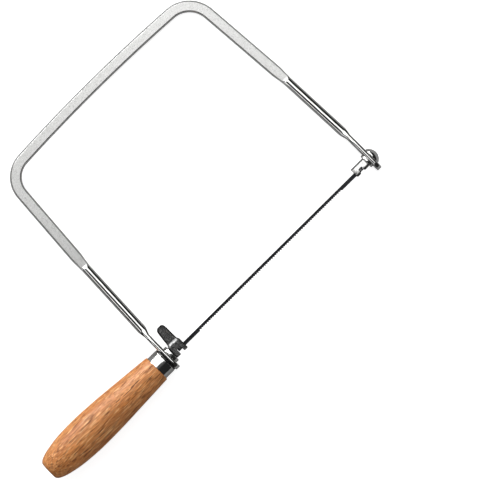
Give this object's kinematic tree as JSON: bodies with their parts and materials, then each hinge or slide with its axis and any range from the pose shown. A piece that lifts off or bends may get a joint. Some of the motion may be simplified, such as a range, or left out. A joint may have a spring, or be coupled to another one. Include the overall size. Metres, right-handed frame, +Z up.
{
  "type": "coping saw",
  "caption": "Coping saw: round-bar bow pressed flat round its back, swivelling folded hooks with an angle lever, pinned blade and turned wooden handle.",
  "frame": {"origin": "under the middle of the saw's box, on the bench that the saw lies on", "axes": "+X from the handle to the far end, along the blade; +Y from the blade to the bow's back; +Z up from the bench. The saw rests on its handle, its far rivet and its bow's back, so its blade and the bow's plane lean by under 2 degrees"},
  "size_m": [0.29, 0.1718, 0.0259],
  "materials": {
    "satin_nickel": "satin nickel plate, bright where the bar is round",
    "bright_nickel": "bright nickel plate",
    "burnished_steel": "dark oiled mottled sheet steel",
    "washer_steel": "dark steel",
    "insert_steel": "turned steel",
    "blade_steel": "dark tempered blade steel",
    "oiled_wood": "turned open-pored hardwood under a satin oil finish"
  },
  "bodies": {
    "bow": {"bow": "satin_nickel"},
    "handle": {"handle": "oiled_wood", "ferrule": "bright_nickel", "thrust_washer": "washer_steel", "handle_insert": "insert_steel"},
    "near_swivel": {"near_collar": "bright_nickel"},
    "near_hook": {"near_stem": "bright_nickel", "near_hook": "burnished_steel"},
    "far_hook": {"far_rivet": "bright_nickel", "far_collar": "bright_nickel", "far_hook": "bright_nickel"},
    "blade": {"blade": "blade_steel", "near_blade_pin": "blade_steel", "far_blade_pin": "blade_steel"}
  },
  "joints": [
    {"name": "handle_turn", "type": "hinge", "parent": "bow", "child": "handle", "pos_m": [-0.04234, -0.07419, 0.01109], "axis": [-0.9996, 0.0008, 0.0299], "range_deg": [0, 470]},
    {"name": "near_swivel", "type": "hinge", "parent": "bow", "child": "near_swivel", "pos_m": [-0.03914, -0.07419, 0.01099], "axis": [0.9996, -0.0008, -0.0299], "continuous": true},
    {"name": "near_slide", "type": "slide", "parent": "near_swivel", "child": "near_hook", "axis": [0.9996, -0.0008, -0.0299], "range_m": [0, 0.00105]},
    {"name": "far_swivel", "type": "hinge", "parent": "bow", "child": "far_hook", "pos_m": [0.13758, -0.07433, 0.00572], "axis": [0.9996, -0.0008, -0.0299], "continuous": true},
    {"name": "blade_release", "type": "slide", "parent": "far_hook", "child": "blade", "axis": [0, -0.9997, 0.0259], "range_m": [0, 0.015]}
  ],
  "couplings": [
    {"joint": "near_slide", "follows": "handle_turn", "m_per_rad": 0.00012732},
    {"joint": "near_swivel", "follows": "far_swivel", "ratio": 1}
  ]
}
